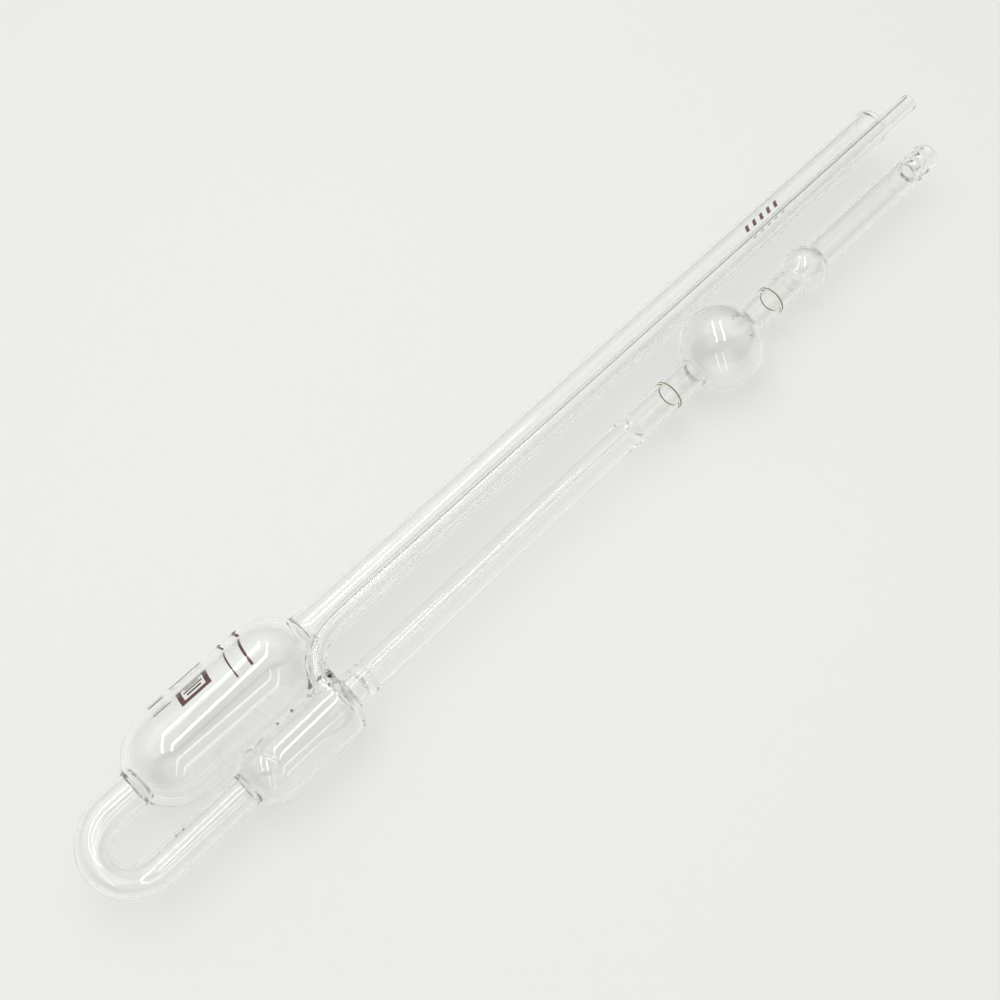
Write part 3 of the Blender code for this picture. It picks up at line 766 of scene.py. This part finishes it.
def build_marks(enamel, stain):
    names = ["upper_fill_mark", "lower_fill_mark", "data_line_1", "data_line_2"]
    names += [f"panel_bar_{i}" for i in (1, 2, 3)] + [f"serial_bar_{i}" for i in range(1, 6)]
    for node in names:
        radius = FILL_R if node.startswith("serial") else RESERVOIR_R
        x, turns = mark_grid(node, FILL_AXIS, radius)
        mark_piece(node, FILL_AXIS, radius, x, turns).data.materials.append(enamel)
    x, turns = mark_grid("panel_frame", FILL_AXIS, RESERVOIR_R)
    x = with_rim(x, PANEL_RIM, 12)
    turns = with_rim(turns, PANEL_RIM_TURN, 30)
    opening = frozenset((i, j) for i in range(1, len(x) - 2) for j in range(1, len(turns) - 2))
    panel = mark_piece("panel_frame", FILL_AXIS, RESERVOIR_R, x, turns, opening)
    panel.data.materials.append(enamel)
    for node in ("lower_timing_mark", "upper_timing_mark"):
        low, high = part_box(node)
        turns = 2 * np.pi * np.arange(SIDES) / SIDES
        ring = mark_piece(node, CAPILLARY_AXIS, TIMING_R, np.linspace(low.x, high.x, 3), turns,
                          closed=True)
        ring.data.materials.append(stain)


# ---- Materials ----

def new_material(name):
    material = bpy.data.materials.new(name)
    material.use_nodes = True
    nodes, links = material.node_tree.nodes, material.node_tree.links
    nodes.clear()
    return material, nodes, links, nodes.new("ShaderNodeOutputMaterial")


def noise(nodes, links, scale, detail, stretch=None):
    """Noise in the object's own space, in cells per metre."""
    place = nodes.new("ShaderNodeTexCoord")
    texture = nodes.new("ShaderNodeTexNoise")
    texture.inputs["Scale"].default_value = scale
    texture.inputs["Detail"].default_value = detail
    source = place.outputs["Object"]
    if stretch is not None:
        mapping = nodes.new("ShaderNodeMapping")
        mapping.inputs["Scale"].default_value = stretch
        links.new(source, mapping.inputs["Vector"])
        source = mapping.outputs["Vector"]
    links.new(source, texture.inputs["Vector"])
    return texture.outputs["Fac"]


def bump(nodes, links, height, shader, strength, distance):
    node = nodes.new("ShaderNodeBump")
    node.inputs["Strength"].default_value = strength
    node.inputs["Distance"].default_value = distance
    links.new(height, node.inputs["Height"])
    links.new(node.outputs["Normal"], shader.inputs["Normal"])


def ranged(nodes, links, source, low, high, start=0.0, end=1.0, smooth=False):
    """low where the source is at start, high where it is at end."""
    node = nodes.new("ShaderNodeMapRange")
    if smooth:
        node.interpolation_type = "SMOOTHSTEP"
    node.inputs["From Min"].default_value = start
    node.inputs["From Max"].default_value = end
    node.inputs["To Min"].default_value = low
    node.inputs["To Max"].default_value = high
    links.new(source, node.inputs["Value"])
    return node.outputs["Result"]


def maths(nodes, links, operation, first, second):
    node = nodes.new("ShaderNodeMath")
    node.operation = operation
    links.new(first, node.inputs[0])
    links.new(second, node.inputs[1])
    return node.outputs["Value"]


def mixed_colour(nodes, links, factor, first, second):
    node = nodes.new("ShaderNodeMix")
    node.data_type = "RGBA"
    node.inputs["A"].default_value = (*first, 1.0)
    node.inputs["B"].default_value = (*second, 1.0)
    links.new(factor, node.inputs["Factor"])
    return node.outputs["Result"]


def mixed_shader(nodes, links, factor, first, second):
    node = nodes.new("ShaderNodeMixShader")
    links.new(factor, node.inputs["Fac"])
    links.new(first, node.inputs[1])
    links.new(second, node.inputs[2])
    return node.outputs["Shader"]


def glass_material():
    """Clear borosilicate, faintly wavy along its length; lets lamps through to the table."""
    material, nodes, links, output = new_material("clear_borosilicate")
    glass = nodes.new("ShaderNodeBsdfPrincipled")
    glass.inputs["Base Color"].default_value = (0.998, 1.0, 0.997, 1.0)
    glass.inputs["IOR"].default_value = 1.473
    glass.inputs["Transmission Weight"].default_value = 1.0
    glass.inputs["Roughness"].default_value = 0.0
    wave = noise(nodes, links, 90.0, 0.0, (0.25, 1.0, 1.0))
    bump(nodes, links, wave, glass, 0.12, 0.0001)

    rim = nodes.new("ShaderNodeLayerWeight")
    rim.inputs["Blend"].default_value = 0.35
    shade = mixed_colour(nodes, links, rim.outputs["Facing"], (0.998,) * 3, (0.8,) * 3)
    clear = nodes.new("ShaderNodeBsdfTransparent")
    links.new(shade, clear.inputs["Color"])

    path = nodes.new("ShaderNodeLightPath")
    shadow, diffuse = path.outputs["Is Shadow Ray"], path.outputs["Is Diffuse Ray"]
    shading = maths(nodes, links, "MAXIMUM", shadow, diffuse)
    mix = mixed_shader(nodes, links, shading, glass.outputs["BSDF"], clear.outputs["BSDF"])
    links.new(mix, output.inputs["Surface"])
    return material


def seal_material():
    """The faces on which two blanks are fused: nothing shows there."""
    material, nodes, links, output = new_material("fused_seal")
    clear = nodes.new("ShaderNodeBsdfTransparent")
    links.new(clear.outputs["BSDF"], output.inputs["Surface"])
    return material


def fired_material(name, dark, light, roughness, coat):
    """Fired colour, nearly matt: mottled from dark to light, and a little rough."""
    material, nodes, links, output = new_material(name)
    shader = nodes.new("ShaderNodeBsdfPrincipled")
    shader.inputs["Coat Weight"].default_value = coat
    shader.inputs["Coat Roughness"].default_value = 0.12
    shader.inputs["Specular IOR Level"].default_value = 0.02
    mottle = noise(nodes, links, 2600.0, 4.0)
    links.new(mixed_colour(nodes, links, mottle, dark, light), shader.inputs["Base Color"])
    uneven = ranged(nodes, links, mottle, roughness - 0.1, roughness + 0.12)
    links.new(uneven, shader.inputs["Roughness"])
    bump(nodes, links, noise(nodes, links, 6000.0, 2.0), shader, 0.3, 0.00002)
    links.new(shader.outputs["BSDF"], output.inputs["Surface"])
    return material


def table_material():
    """Matt off-white board with a very fine tooth."""
    material, nodes, links, output = new_material("pale_table")
    shader = nodes.new("ShaderNodeBsdfPrincipled")
    cloud = noise(nodes, links, 6.0, 3.0)
    colour = mixed_colour(nodes, links, cloud, (0.797, 0.8, 0.768), (0.807, 0.81, 0.778))
    links.new(colour, shader.inputs["Base Color"])
    shader.inputs["Roughness"].default_value = 0.85
    shader.inputs["Specular IOR Level"].default_value = 0.15
    bump(nodes, links, noise(nodes, links, 1500.0, 2.0), shader, 0.05, 0.0001)
    links.new(shader.outputs["BSDF"], output.inputs["Surface"])
    return material


# ---- Table, light and camera ----

def build_table():
    """A board with a rounded front edge and a sweep up at the back, far from the part."""
    mesh = bmesh.new()
    turn = np.linspace(0.0, np.pi / 2, 13)
    profile = [(-1.6 - 0.1 * math.sin(a), -0.1 + 0.1 * math.cos(a)) for a in turn[::-1]]
    profile += [(y, 0.0) for y in np.linspace(-1.5, 1.7, 17)]
    profile += [(1.8 + 0.6 * math.sin(a), 0.6 - 0.6 * math.cos(a)) for a in turn]
    rows = [[mesh.verts.new((x, y, z)) for y, z in profile] for x in np.linspace(-2.2, 2.2, 23)]
    for row, following in zip(rows, rows[1:]):
        for i in range(len(profile) - 1):
            mesh.faces.new((row[i], following[i], following[i + 1], row[i + 1]))
    bmesh.ops.recalc_face_normals(mesh, faces=mesh.faces)
    data = bpy.data.meshes.new("table")
    mesh.to_mesh(data)
    mesh.free()
    data.shade_smooth()
    data.materials.append(table_material())
    table = bpy.data.objects.new("table", data)
    bpy.context.scene.collection.objects.link(table)


def build_strip_light(name, start, end):
    """A long soft box over the table, facing down."""
    start, end = Vector(start), Vector(end)
    data = bpy.data.lights.new(name, "AREA")
    data.shape = "RECTANGLE"
    data.size = (end - start).length
    data.size_y = STRIP_WIDTH
    data.energy = STRIP_RADIANCE * math.pi * data.size * data.size_y
    light = bpy.data.objects.new(name, data)
    light.location = (start + end) / 2
    heading = (end - start).normalized()
    light.rotation_mode = "QUATERNION"
    light.rotation_quaternion = Quaternion((0, 0, 1), math.atan2(heading.y, heading.x))
    bpy.context.scene.collection.objects.link(light)


def black_flag(nodes, links, direction):
    """A factor that dims a long oval of the sky, as a flag hung over the table would."""
    oval_axes = (((0.915, -0.401, 0.034), 0.75), ((0.316, 0.768, 0.558), 0.2))
    squares = []
    for axis, reach in oval_axes:
        along = nodes.new("ShaderNodeVectorMath")
        along.operation = "DOT_PRODUCT"
        along.inputs[1].default_value = [part / reach for part in axis]
        links.new(direction, along.inputs[0])
        value = along.outputs["Value"]
        squares.append(maths(nodes, links, "MULTIPLY", value, value))
    total = maths(nodes, links, "ADD", *squares)
    return ranged(nodes, links, total, 0.08, 1.0, 0.6, 1.5, smooth=True)


def sky_strength(nodes, links):
    """Bright overhead, dark low down but for a glow on the +Y side, and dim at the flag."""
    direction = nodes.new("ShaderNodeTexCoord").outputs["Generated"]
    split = nodes.new("ShaderNodeSeparateXYZ")
    links.new(direction, split.inputs["Vector"])
    overhead = ranged(nodes, links, split.outputs["Z"], 0.05, 1.23, 0.46, 0.85, smooth=True)
    glow = ranged(nodes, links, split.outputs["Y"], 0.0, 0.5, 0.3, 0.95)
    brighter = maths(nodes, links, "MAXIMUM", overhead, glow)
    return maths(nodes, links, "MULTIPLY", brighter, black_flag(nodes, links, direction))


def build_light():
    """Two strips and a sky. What shows past the table is a plain pale backdrop."""
    build_strip_light("strip_left", (-0.505, -0.186, 0.911), (0.247, 0.617, 0.911))
    build_strip_light("strip_right", (-0.226, -0.406, 0.911), (0.400, 0.339, 0.911))
    world = bpy.data.worlds.new("studio")
    world.use_nodes = True
    nodes, links = world.node_tree.nodes, world.node_tree.links
    nodes.clear()
    sky = nodes.new("ShaderNodeBackground")
    sky.inputs["Color"].default_value = (0.99, 1.0, 1.0, 1.0)
    links.new(sky_strength(nodes, links), sky.inputs["Strength"])
    backdrop = nodes.new("ShaderNodeBackground")
    backdrop.inputs["Color"].default_value = (0.55, 0.558, 0.54, 1.0)
    seen = nodes.new("ShaderNodeLightPath").outputs["Is Camera Ray"]
    skies = sky.outputs["Background"], backdrop.outputs["Background"]
    output = nodes.new("ShaderNodeOutputWorld")
    links.new(mixed_shader(nodes, links, seen, *skies), output.inputs["Surface"])
    bpy.context.scene.world = world


def build_camera():
    """High in front of the U bend, looking down and across the tubes, and rolled a little."""
    data = bpy.data.cameras.new("camera")
    data.lens = 49.57
    data.sensor_width = 36.0
    data.clip_start = 0.01
    camera = bpy.data.objects.new("camera", data)
    camera.location = (-0.13428, -0.15012, 0.28033)
    forward = Vector((0.3437, 0.4595, -0.8190))
    level = forward.to_track_quat("-Z", "Y")
    roll = Quaternion((0, 0, 1), math.radians(-10.93))
    camera.rotation_mode = "QUATERNION"
    camera.rotation_quaternion = level @ roll
    bpy.context.scene.collection.objects.link(camera)
    bpy.context.scene.camera = camera


def set_light_paths():
    """Long paths: light crosses many walls, and is turned back inside them many times."""
    scene = bpy.context.scene
    scene.view_settings.view_transform = "Standard"
    cycles = scene.cycles
    cycles.max_bounces = cycles.transmission_bounces = cycles.glossy_bounces = 64
    cycles.transparent_max_bounces = 48
    cycles.caustics_reflective = False
    cycles.caustics_refractive = False
    cycles.sample_clamp_indirect = 4.0


# ---- Everything ----

build_u_bend()
turned_piece("reservoir_bulb", BASE, FILL_START, FILLING_LEG)
turned_piece("filling_tube", FILL_START, FILL_END, FILLING_LEG, mouth=True)
turned_piece("level_vessel_cap", CAP_START, BODY_START, CAPILLARY_LEG)
centre_line = vent_path()
build_vent(centre_line, *build_level_vessel(centre_line))
turned_piece("capillary_tube", DOME_END, FUNNEL, CAPILLARY_LEG)
turned_piece("lower_timing_tube", FUNNEL, BULB_START, CAPILLARY_LEG)
turned_piece("timing_bulb", BULB_START, BULB_END, CAPILLARY_LEG)
turned_piece("upper_timing_tube", BULB_END, PRE_RUN_START, CAPILLARY_LEG)
turned_piece("pre_run_bulb", PRE_RUN_START, SUCTION_START, CAPILLARY_LEG)
turned_piece("suction_tube", SUCTION_START, NOZZLE_START, CAPILLARY_LEG)
turned_piece("hose_nozzle", NOZZLE_START, NOZZLE_END, CAPILLARY_LEG, mouth=True)
clear_glass, fused_seal = glass_material(), seal_material()
for piece in [o for o in bpy.data.objects if o.name.startswith("glass_")]:
    piece.data.materials.append(clear_glass)
    piece.data.materials.append(fused_seal)
build_marks(
    fired_material("red_enamel_fired", (0.075, 0.002, 0.002), (0.24, 0.008, 0.008), 0.5, 0.0),
    fired_material("brown_stain_fired", (0.15, 0.12, 0.05), (0.36, 0.3, 0.13), 0.35, 0.1),
)
build_table()
build_light()
build_camera()
set_light_paths()
